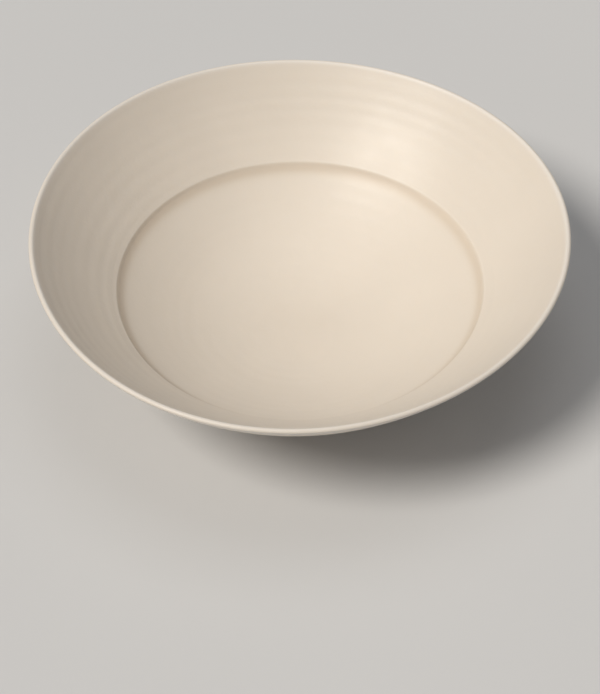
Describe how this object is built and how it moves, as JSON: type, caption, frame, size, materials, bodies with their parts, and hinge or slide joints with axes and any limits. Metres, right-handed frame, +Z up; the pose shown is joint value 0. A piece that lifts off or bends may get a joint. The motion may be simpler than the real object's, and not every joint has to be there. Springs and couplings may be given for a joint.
{
  "type": "serving bowl",
  "caption": "Wide porcelain serving bowl with a flaring wall, a dished well below a small step, a rounded lip and a turned foot ring.",
  "frame": {"origin": "centre of the foot ring's tread, on the surface the bowl stands on", "axes": "+Z up along the bowl's axis of revolution; the bowl is the same all round, so +X and +Y are free"},
  "size_m": [0.32, 0.32, 0.098],
  "materials": {
    "porcelain_body": "fired porcelain, covered by glaze",
    "foot_clay": "fired porcelain, bare and matte at the tread",
    "liner_glaze": "soft satin cream-white glaze",
    "outside_glaze": "soft satin cream-white glaze",
    "base_glaze": "soft satin cream-white glaze"
  },
  "bodies": {
    "root": {"bowl_body": "porcelain_body", "foot_ring": "foot_clay", "inner_glaze": "liner_glaze", "outer_glaze": "outside_glaze", "base_glaze": "base_glaze"}
  },
  "joints": []
}
